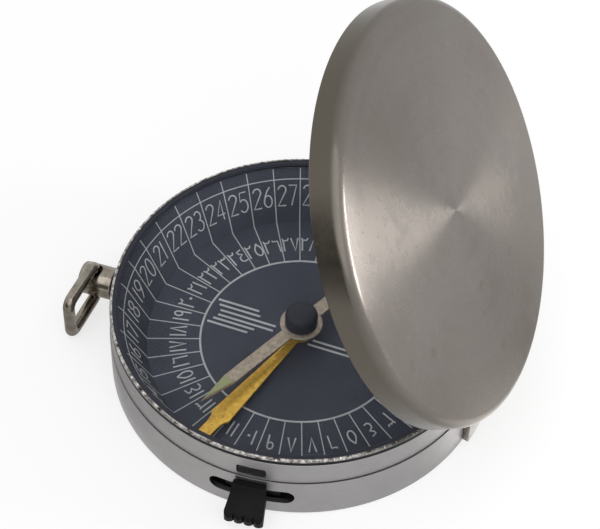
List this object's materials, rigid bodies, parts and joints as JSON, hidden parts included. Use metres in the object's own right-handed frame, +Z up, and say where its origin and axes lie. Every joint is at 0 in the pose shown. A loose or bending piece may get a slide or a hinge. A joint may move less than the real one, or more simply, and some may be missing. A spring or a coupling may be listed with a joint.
{
  "type": "lidded pocket compass",
  "caption": "Round metal pocket compass with a hinged lid, a divided dial under glass, a lockable needle and a bail on the side.",
  "frame": {"origin": "centre of the flat underside of the case", "axes": "+Z up through the dial, +X towards the lid hinge, -X towards the bail post, -Y towards the lock lever"},
  "size_m": [0.0613, 0.055, 0.0587],
  "materials": {
    "polished_case": "polished, soft reflections",
    "bright_ring": "bright, finely serrated",
    "black_plastic": "black, slight gloss",
    "clear_glass": "clear and flat",
    "dark_plastic": "moulded, matte",
    "slate_dial": "dark slate, satin",
    "brass": "satin brass",
    "steel": "plain steel",
    "needle_nickel": "warm satin nickel",
    "lume": "pale green luminous filling",
    "jewel": "polished stone cup",
    "hinge_steel": "pressed steel",
    "brushed_lid": "spun circular brush",
    "dark_nickel": "polished nickel, dark reflections"
  },
  "bodies": {
    "case": {"case_shell": "polished_case", "bezel_ring": "polished_case", "window_plug": "black_plastic", "crystal": "clear_glass", "crystal_retainer": "bright_ring", "dial_support": "dark_plastic", "dial_plate": "slate_dial", "chapter_ring": "slate_dial", "pivot_bush": "brass", "pivot_pin": "steel", "lifter_pin": "steel", "lifter_bracket": "steel", "hinge_case_leaf": "hinge_steel", "hinge_pin": "hinge_steel", "bail_post": "dark_nickel", "post_nut": "steel"},
    "lid": {"lid_shell": "brushed_lid", "hinge_lid_leaf": "hinge_steel"},
    "lock": {"lock_slider": "steel", "lock_lever": "black_plastic"},
    "lifter": {"needle_lifter": "brass"},
    "needle_seat": {"cap_jewel": "jewel"},
    "needle": {"needle_bar": "needle_nickel", "needle_lume": "lume", "needle_cap": "black_plastic"},
    "bail_loop": {"bail": "dark_nickel"}
  },
  "joints": [
    {"name": "lid_hinge", "type": "hinge", "parent": "case", "child": "lid", "pos_m": [0.02678, 0, 0.01055], "axis": [0, 1, 0], "range_deg": [-61.3, 118.7]},
    {"name": "lock_slide", "type": "hinge", "parent": "case", "child": "lock", "pos_m": [0, 0, 0.00355], "axis": [0, 0, -1], "range_deg": [-8.2, 8.2]},
    {"name": "lifter_rock", "type": "hinge", "parent": "case", "child": "lifter", "pos_m": [-0.00783, -0.02152, 0.00443], "axis": [0.9397, -0.342, 0], "range_deg": [-1.9, 1.9]},
    {"name": "needle_lift", "type": "slide", "parent": "case", "child": "needle_seat", "axis": [0, 0, 1], "range_m": [0, 0.0012]},
    {"name": "needle_spin", "type": "hinge", "parent": "needle_seat", "child": "needle", "pos_m": [0, 0, 0.0068], "axis": [0, 0, 1], "continuous": true},
    {"name": "bail_swing", "type": "hinge", "parent": "case", "child": "bail_loop", "pos_m": [-0.0291, 0, 0.0046], "axis": [0, 0, -1], "range_deg": [-26, 194]}
  ],
  "couplings": [
    {"joint": "lifter_rock", "follows": "lock_slide", "ratio": 0.229}
  ]
}
